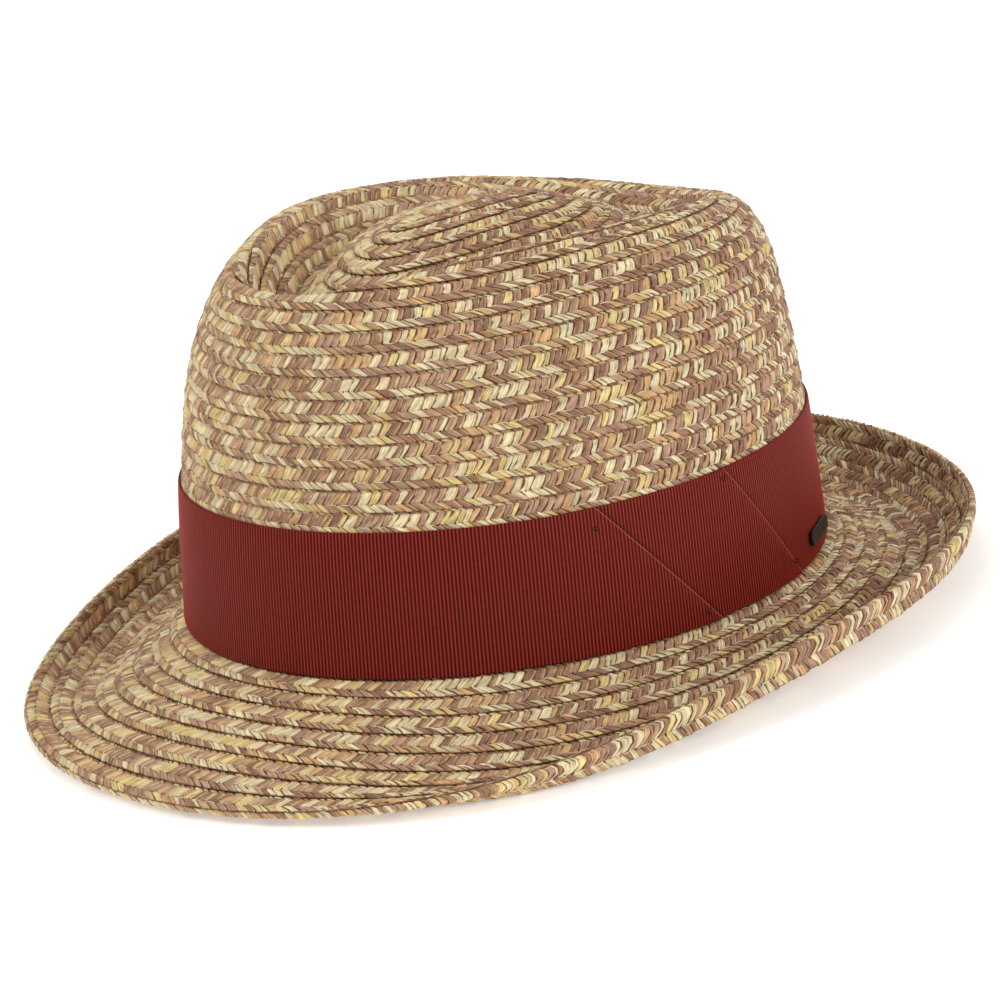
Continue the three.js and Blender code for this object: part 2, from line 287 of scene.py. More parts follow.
# How the hat lies on the floor: pitched so that its lowest points ahead of and behind the middle are
# level, found by halving the range of pitches
MOST_TILT = math.radians(8)
TILT_HALVINGS = 40
RESTING_COLUMNS = 60
RESTING_RINGS = 7


def resting_place():
    """The pitch at which the hat rests, and the move that puts its outline's middle over the origin."""
    angle = np.linspace(0, TURN, RESTING_COLUMNS, endpoint=False)
    rings = []
    for i in range(1, RESTING_RINGS + 1):
        share = np.full_like(angle, i / RESTING_RINGS)
        rings.append(brim_straw.at(angle, share, np.full_like(angle, -STRAW_THICKNESS)))
    points = np.concatenate(rings)
    front = points[points[:, 1] < 0]
    back = points[points[:, 1] >= 0]

    def lowest(group, pitch):
        return np.min(group[:, 1] * math.sin(pitch) + group[:, 2] * math.cos(pitch))

    low = -MOST_TILT
    high = MOST_TILT
    for _ in range(TILT_HALVINGS):
        pitch = (low + high) / 2
        if lowest(front, pitch) > lowest(back, pitch):
            low = pitch
        else:
            high = pitch
    drop = lowest(points, pitch)
    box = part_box("crown")
    crown = crown_straw.points.reshape(-1, 3)
    along = crown[:, 1] * math.cos(pitch) - crown[:, 2] * math.sin(pitch)
    middle = (np.max(along) + np.min(along)) / 2
    shift = (box[0][1] + box[1][1]) / 2 / MM - middle
    return pitch, np.array([0, shift, -drop - RESTING_FLAT])


PITCH, REST_MOVE = resting_place()


def settled(points):
    """Points of the hat's own frame, in metres where the hat lies on the floor."""
    points = np.asarray(points, float).reshape(-1, 3)
    cosine = math.cos(PITCH)
    sine = math.sin(PITCH)
    y = points[:, 1] * cosine - points[:, 2] * sine
    z = points[:, 1] * sine + points[:, 2] * cosine
    moved = np.stack([points[:, 0], y, z], -1) + REST_MOVE
    moved[:, 2] = np.maximum(moved[:, 2], 0)
    return moved * MM


def turned(direction):
    """A direction of the hat's own frame, where the hat lies on the floor."""
    return Matrix.Rotation(PITCH, 3, "X") @ Vector(direction)


# Materials

def linear(hex_colour):
    """The linear colour of an sRGB hex value."""
    channels = []
    for i in (0, 2, 4):
        value = int(hex_colour[i:i + 2], 16) / 255
        channels.append(value / 12.92 if value <= 0.04045 else ((value + 0.055) / 1.055) ** 2.4)
    return channels + [1.0]


def add_node(tree, kind, settings=None, inputs=None, links=None):
    """Adds a node with its settings, its input values and the sockets that feed its inputs."""
    node = tree.nodes.new(kind)
    for key, value in (settings or {}).items():
        setattr(node, key, value)
    for key, value in (inputs or {}).items():
        node.inputs[key].default_value = value
    for key, socket in (links or {}).items():
        tree.links.new(socket, node.inputs[key])
    return node


def new_material(name, roughness, specular=0.5, sheen=0.0):
    """A material with its principled shader, whose uniform values are set on its own sockets."""
    material = bpy.data.materials.new(name)
    material.use_nodes = True
    tree = material.node_tree
    shader = tree.nodes["Principled BSDF"]
    shader.inputs["Roughness"].default_value = roughness
    shader.inputs["Specular IOR Level"].default_value = specular
    shader.inputs["Sheen Weight"].default_value = sheen
    return material, tree, shader


# Fibre streaks and splits run along a strand: their width, and how far they run
STREAK_WIDTH = 0.42
STREAK_LENGTH = 6
SPLIT_WIDTH = 1.5
SPLIT_LENGTH = 16

# Patches where the dye took more or less
PATCH_WIDTH = 1.6
PATCH_LENGTH = 2.4

# Stitches of the seam that joins the rows: their length, the size of the needle's holes, and the share
# of the row where they lie
STITCH_PITCH = 4.7
NEEDLE_HOLE = 0.3
SEAM_PLACE = 0.672

# Colours beside the dyes: the painted highlight along one edge of a strand, the painted shade along
# the edge that tucks under the next strand, the painted shade in the grooves and the gaps between the
# rows, and the painted shade inside a needle's hole
EDGE_HIGHLIGHT = "E4C688"
EDGE_SHADE = "54280C"
ROW_GAP_SHADE = "5E300E"
HOLE_SHADE = "2C170B"


def stretched_noise(tree, place, width, length, detail, roughness=0.5):
    """Noise over a map in millimetres, with marks of a width across and a length along."""
    scale = (1 / width, 1 / length, 1)
    stretched = add_node(
        tree, "ShaderNodeVectorMath", {"operation": "MULTIPLY"}, {1: scale}, {0: place}
    )
    noise = add_node(
        tree, "ShaderNodeTexNoise", {"noise_dimensions": "2D"},
        {"Scale": 1.0, "Detail": detail, "Roughness": roughness}, {"Vector": stretched.outputs[0]},
    )
    return noise.outputs[0]


def paper_straw():
    """Twisted paper straw, dyed in the strand: satin, with fine fibre streaks and splits along each
    strand. A strand has a painted highlight along one edge and painted shade along the other, where
    it tucks under the next one. The grooves and the gaps between the rows get brown painted shade, and
    the needle's holes dark painted shade."""
    material, tree, shader = new_material("dyed_paper_straw", roughness=0.6, specular=0.25)
    dye = add_node(tree, "ShaderNodeAttribute", {"attribute_name": "dye"})
    strand = add_node(tree, "ShaderNodeAttribute", {"attribute_name": "strand"})
    parts = add_node(tree, "ShaderNodeSeparateXYZ", links={0: strand.outputs["Vector"]})
    across_strand, out_of_gap, luck = parts.outputs
    grain = add_node(tree, "ShaderNodeUVMap", {"uv_map": "grain"}).outputs["UV"]
    seam = add_node(tree, "ShaderNodeUVMap", {"uv_map": "seam"}).outputs["UV"]

    # Fibre streaks, and splits where a second noise passes its middle
    fibre = stretched_noise(tree, grain, STREAK_WIDTH, STREAK_LENGTH, detail=2.0, roughness=0.6)
    streak = add_node(
        tree, "ShaderNodeMapRange", None,
        {"From Min": 0.3, "From Max": 0.7, "To Min": 0.72, "To Max": 1.26}, {"Value": fibre},
    )
    folds = stretched_noise(tree, grain, SPLIT_WIDTH, SPLIT_LENGTH, detail=1.0)
    from_middle = add_node(tree, "ShaderNodeMath", {"operation": "SUBTRACT"}, {1: 0.5}, {0: folds})
    off_middle = add_node(
        tree, "ShaderNodeMath", {"operation": "ABSOLUTE"}, None, {0: from_middle.outputs[0]}
    )
    split = add_node(
        tree, "ShaderNodeMapRange", None,
        {"From Min": 0.0, "From Max": 0.035, "To Min": 0.66, "To Max": 1.0},
        {"Value": off_middle.outputs[0]},
    )
    fibrous = add_node(
        tree, "ShaderNodeMath", {"operation": "MULTIPLY"}, None,
        {0: streak.outputs[0], 1: split.outputs[0]},
    )
    streaked = add_node(
        tree, "ShaderNodeVectorMath", {"operation": "SCALE"}, None,
        {0: dye.outputs["Color"], "Scale": fibrous.outputs[0]},
    )

    # Patches of more or less dye
    patches = stretched_noise(tree, grain, PATCH_WIDTH, PATCH_LENGTH, detail=1.0)
    patchy = add_node(
        tree, "ShaderNodeMapRange", None,
        {"From Min": 0.3, "From Max": 0.7, "To Min": 0.84, "To Max": 1.16}, {"Value": patches},
    )
    patched = add_node(
        tree, "ShaderNodeVectorMath", {"operation": "SCALE"}, None,
        {0: streaked.outputs[0], "Scale": patchy.outputs[0]},
    )

    # The strand's two edges, which wander a little: a painted highlight along the far edge, stronger on
    # some strands than on others, and painted shade along the near edge
    wander = add_node(
        tree, "ShaderNodeMath", {"operation": "MULTIPLY_ADD"}, {1: 0.5, 2: -0.25}, {0: patches}
    )
    crossways = add_node(
        tree, "ShaderNodeMath", {"operation": "ADD"}, None, {0: across_strand, 1: wander.outputs[0]}
    )
    highlit_edge = add_node(
        tree, "ShaderNodeMapRange", {"interpolation_type": "SMOOTHSTEP"},
        {"From Min": 0.7, "From Max": 0.92, "To Min": 0.0, "To Max": 0.85},
        {"Value": crossways.outputs[0]},
    )
    highlight_strength = add_node(
        tree, "ShaderNodeMath", {"operation": "MULTIPLY_ADD"}, {1: 0.7, 2: 0.3}, {0: luck}
    )
    highlight_share = add_node(
        tree, "ShaderNodeMath", {"operation": "MULTIPLY"}, None,
        {0: highlit_edge.outputs[0], 1: highlight_strength.outputs[0]},
    )
    edge_highlighted = add_node(
        tree, "ShaderNodeMix", {"data_type": "RGBA"}, {"B": linear(EDGE_HIGHLIGHT)},
        {"Factor": highlight_share.outputs[0], "A": patched.outputs[0]},
    )
    # Painted shade along the near edge, where the strand tucks under the next one
    shaded_edge = add_node(
        tree, "ShaderNodeMapRange", {"interpolation_type": "SMOOTHSTEP"},
        {"From Min": 0.04, "From Max": 0.2, "To Min": 0.9, "To Max": 0.0},
        {"Value": crossways.outputs[0]},
    )
    edge_shaded = add_node(
        tree, "ShaderNodeMix", {"data_type": "RGBA"}, {"B": linear(EDGE_SHADE)},
        {"Factor": shaded_edge.outputs[0], "A": edge_highlighted.outputs[2]},
    )

    # Brown painted shade in the grooves, deepest in the gaps between the rows
    gap_shade = add_node(
        tree, "ShaderNodeMapRange", {"interpolation_type": "SMOOTHSTEP"},
        {"From Min": 0.08, "From Max": 0.7, "To Min": 0.85, "To Max": 0.0}, {"Value": out_of_gap},
    )
    shaded = add_node(
        tree, "ShaderNodeMix", {"data_type": "RGBA"}, {"B": linear(ROW_GAP_SHADE)},
        {"Factor": gap_shade.outputs[0], "A": edge_shaded.outputs[2]},
    )

    # Painted shade in the needle's holes, one for each stitch along the seam
    seam_parts = add_node(tree, "ShaderNodeSeparateXYZ", links={0: seam})
    turns = add_node(
        tree, "ShaderNodeMath", {"operation": "DIVIDE"}, {1: STITCH_PITCH},
        {0: seam_parts.outputs["X"]},
    )
    fraction = add_node(
        tree, "ShaderNodeMath", {"operation": "FRACT"}, None, {0: turns.outputs[0]}
    )
    centred = add_node(
        tree, "ShaderNodeMath", {"operation": "SUBTRACT"}, {1: 0.5}, {0: fraction.outputs[0]}
    )
    sideways = add_node(
        tree, "ShaderNodeMath", {"operation": "MULTIPLY"}, {1: STITCH_PITCH}, {0: centred.outputs[0]}
    )
    upwards = add_node(
        tree, "ShaderNodeMath", {"operation": "SUBTRACT"}, {1: SEAM_PLACE * BRAID_ROW},
        {0: seam_parts.outputs["Y"]},
    )
    offset = add_node(
        tree, "ShaderNodeCombineXYZ", None, None, {0: sideways.outputs[0], 1: upwards.outputs[0]}
    )
    away = add_node(
        tree, "ShaderNodeVectorMath", {"operation": "LENGTH"}, None, {0: offset.outputs[0]}
    )
    hole = add_node(
        tree, "ShaderNodeMapRange", {"interpolation_type": "SMOOTHSTEP"},
        {"From Min": NEEDLE_HOLE * 0.6, "From Max": NEEDLE_HOLE * 1.3, "To Min": 0.85, "To Max": 0.0},
        {"Value": away.outputs["Value"]},
    )
    pierced = add_node(
        tree, "ShaderNodeMix", {"data_type": "RGBA"}, {"B": linear(HOLE_SHADE)},
        {"Factor": hole.outputs[0], "A": shaded.outputs[2]},
    )
    tree.links.new(pierced.outputs[2], shader.inputs["Base Color"])

    bump = add_node(
        tree, "ShaderNodeBump", None, {"Strength": 0.7, "Distance": 0.15 * MM},
        {"Height": fibrous.outputs[0]},
    )
    tree.links.new(bump.outputs[0], shader.inputs["Normal"])
    return material


# Colours of the ribbon: its sheen, the painted shade in the grooves of its ribs and the red of the cloth
# with painted highlight on their crests, the painted highlight along a fold and the painted shadow beside
# it
RIBBON_SHEEN = "C84E3A"
RIB_GROOVE_SHADE = "460706"
RIB_CREST_LIT = "963124"
FOLD_HIGHLIGHT = "B0604E"
FOLD_SHADOW = "300504"


def ribbed_ribbon():
    """Grosgrain, rayon woven over cotton ribs, with a soft sheen: painted highlight on the ribs' crests
    and deep red painted shade between them, a painted highlight along each fold and a painted shadow
    on the cloth under it."""
    material, tree, shader = new_material("rayon_grosgrain", roughness=0.5, specular=0.1, sheen=0.5)
    shader.inputs["Sheen Roughness"].default_value = 0.4
    shader.inputs["Sheen Tint"].default_value = linear(RIBBON_SHEEN)
    rib = add_node(tree, "ShaderNodeAttribute", {"attribute_name": "rib"})
    place = add_node(tree, "ShaderNodeUVMap", {"uv_map": "weave"})
    yarn_scale = (1 / RIB_PITCH, 1 / YARN_PITCH, 1)
    scaled = add_node(
        tree, "ShaderNodeVectorMath", {"operation": "MULTIPLY"}, {1: yarn_scale},
        {0: place.outputs["UV"]},
    )
    mottle = add_node(
        tree, "ShaderNodeTexNoise", {"noise_dimensions": "2D"},
        {"Scale": 0.3, "Detail": 2.0}, {"Vector": scaled.outputs[0]},
    )
    shade = add_node(
        tree, "ShaderNodeMapRange", None,
        {"From Min": 0.3, "From Max": 0.7, "To Min": 0.93, "To Max": 1.06},
        {"Value": mottle.outputs[0]},
    )
    # Painted shade in the ribs' grooves and painted highlight on their crests
    crest = add_node(
        tree, "ShaderNodeMapRange", {"interpolation_type": "SMOOTHSTEP"},
        {"From Min": 0.4, "From Max": 1.0, "To Min": 0.0, "To Max": 1.0},
        {"Value": rib.outputs["Fac"]},
    )
    ribs = add_node(
        tree, "ShaderNodeMix", {"data_type": "RGBA"},
        {"A": linear(RIB_GROOVE_SHADE), "B": linear(RIB_CREST_LIT)}, {"Factor": crest.outputs[0]},
    )
    mottled = add_node(
        tree, "ShaderNodeVectorMath", {"operation": "SCALE"}, None,
        {0: ribs.outputs[2], "Scale": shade.outputs[0]},
    )
    fold = add_node(tree, "ShaderNodeAttribute", {"attribute_name": "fold"})
    tuck = add_node(tree, "ShaderNodeAttribute", {"attribute_name": "tuck"})
    # Painted highlight along the fold's edge, and painted shadow on the cloth under a fold
    fold_highlight = add_node(
        tree, "ShaderNodeMapRange", {"interpolation_type": "SMOOTHSTEP"},
        {"From Min": 0.1, "From Max": FOLD_HIGHLIGHT_WIDTH, "To Min": 0.65, "To Max": 0.0},
        {"Value": fold.outputs["Fac"]},
    )
    fold_highlighted = add_node(
        tree, "ShaderNodeMix", {"data_type": "RGBA"}, {"B": linear(FOLD_HIGHLIGHT)},
        {"Factor": fold_highlight.outputs[0], "A": mottled.outputs[0]},
    )
    shadow = add_node(
        tree, "ShaderNodeMapRange", {"interpolation_type": "SMOOTHSTEP"},
        {"From Min": 0.0, "From Max": TUCK_WIDTH, "To Min": 0.5, "To Max": 0.0},
        {"Value": tuck.outputs["Fac"]},
    )
    tucked = add_node(
        tree, "ShaderNodeMix", {"data_type": "RGBA"}, {"B": linear(FOLD_SHADOW)},
        {"Factor": shadow.outputs[0], "A": fold_highlighted.outputs[2]},
    )
    tree.links.new(tucked.outputs[2], shader.inputs["Base Color"])
    bump = add_node(
        tree, "ShaderNodeBump", None, {"Strength": 0.25, "Distance": 0.05 * MM},
        {"Height": mottle.outputs[0]},
    )
    tree.links.new(bump.outputs[0], shader.inputs["Normal"])
    return material


def plain_material(name, colour, roughness, specular, mottle=0.12, grain=0.4, glow=0.0):
    """One dye or coat, mottled a little at a grain size in millimetres."""
    material, tree, shader = new_material(name, roughness, specular)
    shader.inputs["Emission Color"].default_value = linear(colour)
    shader.inputs["Emission Strength"].default_value = glow
    place = add_node(tree, "ShaderNodeTexCoord")
    noise = add_node(
        tree, "ShaderNodeTexNoise", None, {"Scale": 1 / (grain * MM), "Detail": 2.0},
        {"Vector": place.outputs["Object"]},
    )
    shade = add_node(
        tree, "ShaderNodeMapRange", None,
        {"From Min": 0.3, "From Max": 0.7, "To Min": 1 - mottle, "To Max": 1 + mottle},
        {"Value": noise.outputs[0]},
    )
    coat = add_node(
        tree, "ShaderNodeVectorMath", {"operation": "SCALE"}, {0: linear(colour)[:3]},
        {"Scale": shade.outputs[0]},
    )
    tree.links.new(coat.outputs[0], shader.inputs["Base Color"])
    bump = add_node(
        tree, "ShaderNodeBump", None, {"Strength": 0.2, "Distance": 0.03 * MM},
        {"Height": noise.outputs[0]},
    )
    tree.links.new(bump.outputs[0], shader.inputs["Normal"])
    return material


# Meshes

def in_scene(name, data):
    """A new object of the scene."""
    added = bpy.data.objects.new(name, data)
    bpy.context.scene.collection.objects.link(added)
    return added


def finished_piece(name, shape, material):
    """An object from a finished bmesh, facing outwards."""
    bmesh.ops.recalc_face_normals(shape, faces=shape.faces[:])
    mesh = bpy.data.meshes.new(name)
    shape.to_mesh(mesh)
    shape.free()
    mesh.materials.append(material)
    return in_scene(name, mesh)


def new_piece(name, points, faces, material):
    """An object from points in the hat's frame and quads, wound so that it faces outwards, and whether
    the quads were turned round for that."""
    points = settled(points)
    a, b, c, d = (points[faces[:, i]] for i in range(4))
    volume = np.sum(np.cross(a, b) * c) + np.sum(np.cross(a, c) * d)
    if volume < 0:
        faces = faces[:, ::-1]
    mesh = bpy.data.meshes.new(name)
    mesh.vertices.add(len(points))
    mesh.vertices.foreach_set("co", points.astype(np.float32).ravel())
    mesh.loops.add(faces.size)
    mesh.loops.foreach_set("vertex_index", faces.astype(np.int32).ravel())
    mesh.polygons.add(len(faces))
    mesh.polygons.foreach_set("loop_start", np.arange(0, faces.size, 4, dtype=np.int32))
    mesh.update(calc_edges=True)
    mesh.validate()
    mesh.shade_smooth()
    mesh.materials.append(material)
    return in_scene(name, mesh), volume < 0


def closed_quads(rings, columns):
    """Corner indices of a closed tube of rings, as ring and column steps of each corner."""
    ring, column = np.meshgrid(np.arange(rings), np.arange(columns), indexing="ij")
    ring_next = (ring + 1) % rings
    column_next = (column + 1) % columns
    corners = [(ring, column), (ring, column_next), (ring_next, column_next), (ring_next, column)]
    return np.stack([r * columns + c for r, c in corners], -1)


# Braid

# One face of a braid row from its tucked edge to its proud edge: place as a share of the row, height of
# the grooves and of the strands in mm, lean along the row in mm, and the course that starts there.
ROW_FACE = [
    (-0.12, -0.50, -0.50, -1.0, "tip"),
    (0.05, -0.34, -0.04, -0.6, "tip"),
    (0.13, -0.26, -0.06, 0.25, "tall"),
    (0.185, -0.16, 0.22, 0.2, "tall"),
    (0.40, -0.12, 0.38, -0.55, "tall"),
    (0.60, -0.14, 0.26, -1.5, "tall"),
    (0.66, -0.26, -0.12, -1.6, "low"),
    (0.715, -0.14, 0.22, -1.2, "low"),
    (0.85, -0.10, 0.34, 0.0, "low"),
    (0.955, -0.14, 0.16, 0.9, "low"),
    (1.005, -0.24, -0.12, 1.3, "edge"),
]
# The last row of the brim: long strands that bow over the rim, and a short course under it
RIM_FACE = [
    (0.0, -0.34, -0.34, -1.8, "tall"),
    (0.035, -0.20, 0.08, -1.6, "tall"),
    (0.12, -0.14, 0.32, -0.6, "tall"),
    (0.24, -0.12, 0.38, 0.3, "tall"),
    (0.38, -0.12, 0.38, 0.3, "tall"),
    (0.50, -0.12, 0.34, -0.5, "tall"),
    (0.60, -0.14, 0.22, -1.3, "tall"),
    (0.645, -0.26, -0.12, -1.4, "low"),
    (0.70, -0.14, 0.20, -1.0, "low"),
    (0.84, -0.10, 0.30, 0.1, "low"),
    (0.95, -0.14, 0.14, 0.9, "low"),
    (1.0, -0.26, -0.16, 1.2, "edge"),
]
# A plain face with few rings, for the crown's inside and behind the ribbon
PLAIN_FACE = [
    (-0.12, -0.50, -0.50, 0.0, "tip"),
    (0.45, -0.14, 0.05, -1.0, "low"),
    (1.005, -0.15, -0.05, 1.0, "edge"),
]
COURSES = ["tip", "tall", "low", "edge"]

# A strand's three columns: its edge lies in the groove, and its two shoulders are on top, each a share
# of its width in from an edge
STRAND_CREST = [0.0, 1.0, 1.0]
STRAND_SHOULDER = 0.27
STRAND_WIDTH = 2.35
RIM_STRAND_WIDTH = 1.65
LEAST_STRANDS = 8

# How much the strands differ: in width and lean as shares, in height in mm, and in where they end as a
# share of the row
STRAND_UNEVEN = 0.42
LEAN_JITTER = 0.26
STRAND_JITTER = 0.13
EDGE_JITTER = 0.03

# A row's face tilts from its tucked edge to its proud edge, in mm, between two shares of the row
ROW_TILT_FROM = -0.28
ROW_TILT_TO = 0.3
TILTED_FROM = -0.15
TILTED_TO = 1.02
BRAID_THICKNESS = 1.3

# A row's back face runs the other way, from this share of the row
BACK_FROM = 0.88

# Depth of the deepest groove that gets the full painted shade, and the height over it that gets none
GROOVE_DEPTH = 0.45
GROOVE_TO_TOP = 0.7

# How far apart the fibre patterns of two strands can lie, in mm, so that no two look alike
GRAIN_MOVE_ACROSS = 97
GRAIN_MOVE_ALONG = 31

# Steps round the hat in which lengths are measured
LENGTH_STEPS = 1440

# Dyes of the strands, with the share of strands that each one takes and its unevenness
DYES = [
    ("9F775E", 0.25, 0.14),
    ("B58E75", 0.22, 0.13),
    ("E3D1A8", 0.29, 0.09),
    ("E0C688", 0.11, 0.10),
    ("CEA476", 0.13, 0.14),
]

# The chance that a strand takes the dye of the one before it
RUN_CHANCE = 0.18
RIM_RUN_CHANCE = 0.0


def dye_strands(count, run_chance, dice):
    """A colour for each strand, in short runs of the same dye."""
    shares = np.array([dye[1] for dye in DYES])
    kinds = dice.choice(len(DYES), count, p=shares / shares.sum())
    repeats = dice.random(count) < run_chance
    for i in range(1, count):
        if repeats[i]:
            kinds[i] = kinds[i - 1]
    colours = np.array([linear(dye[0]) for dye in DYES])[kinds]
    uneven = np.array([dye[2] for dye in DYES])[kinds]
    strength = 1 + uneven * dice.uniform(-1, 1, count)
    colours[:, :3] *= strength[:, None]
    return colours


class BraidRow:
    """One row of the braid round the hat. place gives its points at angles, shares of the row and
    heights."""

    def __init__(self, place, front=ROW_FACE, back=PLAIN_FACE, thickness=BRAID_THICKNESS,
                 flatten=1.0, sink=0.0, tilt=(ROW_TILT_FROM, ROW_TILT_TO), strand_width=STRAND_WIDTH,
                 run_chance=RUN_CHANCE):
        self.place = place
        self.front = front
        self.back = back
        self.thickness = thickness
        self.flatten = flatten
        self.sink = sink
        self.tilt = tilt
        self.strand_width = strand_width
        self.run_chance = run_chance
        angles = np.linspace(0, TURN, LENGTH_STEPS + 1)
        middle = place(angles, np.full_like(angles, 0.5), np.zeros_like(angles))
        steps = np.linalg.norm(np.diff(middle, axis=0), axis=1)
        self.angles = angles
        self.lengths = np.concatenate([[0], np.cumsum(steps)])
        self.total = self.lengths[-1]

    def angle_at(self, distance):
        """The angle round the hat at a distance along the row."""
        turns = np.floor(distance / self.total)
        return np.interp(distance - turns * self.total, self.lengths, self.angles) + turns * TURN

    def at(self, distance, share, height):
        """Points at distances along the row, at shares of the row and heights over its tilted face."""
        share = np.broadcast_to(share, distance.shape)
        across = np.clip(share, TILTED_FROM, TILTED_TO)
        rest = self.tilt[0] + (self.tilt[1] - self.tilt[0]) * across
        return self.place(self.angle_at(distance), share, rest + height)

    def strands(self, dice):
        """Where each strand's columns lie along the row: its edge and its two shoulders."""
        count = max(LEAST_STRANDS, round(self.total / self.strand_width))
        widths = 1 + STRAND_UNEVEN * dice.uniform(-1, 1, count)
        edges = np.concatenate([[0], np.cumsum(widths)]) / widths.sum() * self.total
        fractions = np.array([0, STRAND_SHOULDER, 1 - STRAND_SHOULDER])
        places = edges[:-1, None] + np.diff(edges)[:, None] * fractions
        return count, places.ravel(), np.tile(fractions, count)

    def build(self, dice):
        """Points and per-corner values of the row as a closed flat tube."""
        count, places, fractions = self.strands(dice)
        each = len(STRAND_CREST)
        crest = np.tile(STRAND_CREST, count)
        rise = np.repeat(dice.uniform(-1, 1, count), each) * STRAND_JITTER * crest
        swing = np.repeat(dice.uniform(-1, 1, count), each) * LEAN_JITTER
        stray = np.repeat(dice.uniform(-1, 1, count), each) * EDGE_JITTER
        points = []
        depths = []
        shares = []
        courses = []
        for side, face in (("front", self.front), ("back", self.back)):
            for share, groove, top, lean, course in face:
                level = groove + (top - groove) * crest
                relief = (level + rise) * self.flatten
                at_edge = course in ("tip", "edge")
                if side == "front":
                    height = relief - self.sink
                    across = share + stray * at_edge
                else:
                    height = -self.thickness - relief - self.sink
                    across = BACK_FROM - share - stray * at_edge
                points.append(self.at(places + lean + swing * lean, across, height))
                depths.append(np.clip((level + GROOVE_DEPTH) / GROOVE_TO_TOP, 0, 1))
                shares.append(share)
                courses.append(COURSES.index(course))
        rings = len(points)
        columns = len(places)
        faces = closed_quads(rings, columns)
        depth = np.stack(depths).ravel()[faces]
        next_fraction = np.roll(fractions, -1)
        next_fraction[next_fraction == 0] = 1
        fraction = np.stack([fractions, next_fraction, next_fraction, fractions], -1)
        fraction = np.broadcast_to(fraction, (rings, columns, 4))
        strand_of_column = np.arange(columns) // each
        luck = dice.random((len(COURSES), count))
        colours = np.stack([dye_strands(count, self.run_chance, dice) for _ in COURSES])
        course_of_ring = np.array(courses)
        colour = colours[course_of_ring[:, None], strand_of_column[None, :]]
        chance = luck[course_of_ring[:, None], strand_of_column[None, :]]
        this_share = np.array(shares)
        next_share = np.roll(this_share, -1)
        for ring in (len(self.front) - 1, rings - 1):
            next_share[ring] = this_share[ring]
        along = np.stack([this_share, this_share, next_share, next_share], -1)
        along = np.broadcast_to(along[:, None, :], (rings, columns, 4)) * BRAID_ROW
        next_places = np.append(places[1:], places[0] + self.total)
        distance = np.stack([places, next_places, next_places, places], -1)
        leans = np.array([line[3] for line in self.front] + [line[3] for line in self.back])
        next_leans = np.roll(leans, -1)
        lean = np.stack([leans, leans, next_leans, next_leans], -1)[:, None, :]
        distance = distance[None, :, :] + lean
        grain_across = fraction * self.strand_width + chance[..., None] * GRAIN_MOVE_ACROSS
        grain_along = along + chance[..., None] * GRAIN_MOVE_ALONG
        grain = np.stack([grain_across, grain_along], -1)
        luck_of_corner = np.broadcast_to(chance[..., None], depth.shape)
        return {
            "points": np.concatenate(points),
            "faces": faces.reshape(-1, 4),
            "dye": np.repeat(colour.reshape(-1, 1, 4), 4, axis=1),
            "strand": np.stack([fraction, depth, luck_of_corner], -1).reshape(-1, 4, 3),
            "grain": grain.reshape(-1, 4, 2),
            "seam": np.stack([distance, along], -1).reshape(-1, 4, 2),
        }


def braid_piece(name, rows, material, dice):
    """One object from several rows of the braid, with the values that its material reads."""
    parts = [row.build(dice) for row in rows]
    starts = np.cumsum([0] + [len(part["points"]) for part in parts[:-1]])
    points = np.concatenate([part["points"] for part in parts])
    faces = np.concatenate([part["faces"] + start for part, start in zip(parts, starts)])
    piece, flipped = new_piece(name, points, faces, material)
    mesh = piece.data

    def joined(key):
        values = np.concatenate([part[key] for part in parts])
        return (values[:, ::-1] if flipped else values).astype(np.float32).ravel()

    mesh.attributes.new("dye", "FLOAT_COLOR", "CORNER").data.foreach_set("color", joined("dye"))
    mesh.attributes.new("strand", "FLOAT_VECTOR", "CORNER").data.foreach_set("vector", joined("strand"))
    mesh.uv_layers.new(name="grain").data.foreach_set("uv", joined("grain"))
    mesh.uv_layers.new(name="seam").data.foreach_set("uv", joined("seam"))
    return piece


# Rows of the crown and of the brim

# How far the last open row of the crown reaches down behind the ribbon
UNDER_RIBBON = 0.9

# The share of a row over which the first one closes on the crown's centre seam
SEAM_CLOSES = 0.4


def share_at_ribbon(angle):
    """The crown's share at which the open rows end, just behind the ribbon's top edge."""
    return share_at_height(angle, RIBBON_TOP - UNDER_RIBBON)


def count_crown_rows():
    """Braid rows from the centre of the top to the ribbon, counted at the side."""
    side = np.array([math.pi / 2])
    return math.ceil(share_at_ribbon(side)[0] * crown_straw.length(side)[0] / BRAID_ROW)


# The crown's open rows are three pieces: the top, the shoulder and the wall
CROWN_ROWS = count_crown_rows()
TOP_ROWS = 11
SHOULDER_ROWS = 5
HIDDEN_ROWS = round(RIBBON_WIDTH / BRAID_ROW)
BRIM_ROWS = round(BRIM_WIDTH / BRAID_ROW)

# The rim braid: its whole width, how much of it lies on top before the bend, how far it laps over the
# last row, the bend's radius, and how far in from the brim's end the bend starts
RIM_BRAID = 11.2
RIM_ON_TOP = 0.1
RIM_LAP = 0.6
RIM_RADIUS = STRAW_THICKNESS / 2
RIM_INSET = 0.9

# How far the brim's first row reaches in under the crown's foot
SEAT_REACH = 1.5


def crown_row(number):
    """Places one row of the crown: the first one closes on the centre seam, and the last one ends at
    the ribbon's top edge."""
    def place(angle, share, offset):
        row = number + share
        points = crown_straw.at(angle, row / CROWN_ROWS * share_at_ribbon(angle), offset)
        points[:, 0] *= np.clip((row - ROW_FACE[0][0]) / SEAM_CLOSES, 0, 1)
        return points
    return place


def hidden_row(number):
    """Places one row under the ribbon, down to the crown's foot."""
    def place(angle, share, offset):
        from_top = (number + share) / HIDDEN_ROWS
        top = share_at_ribbon(angle)
        return crown_straw.at(angle, top + (1 - top) * from_top, offset)
    return place


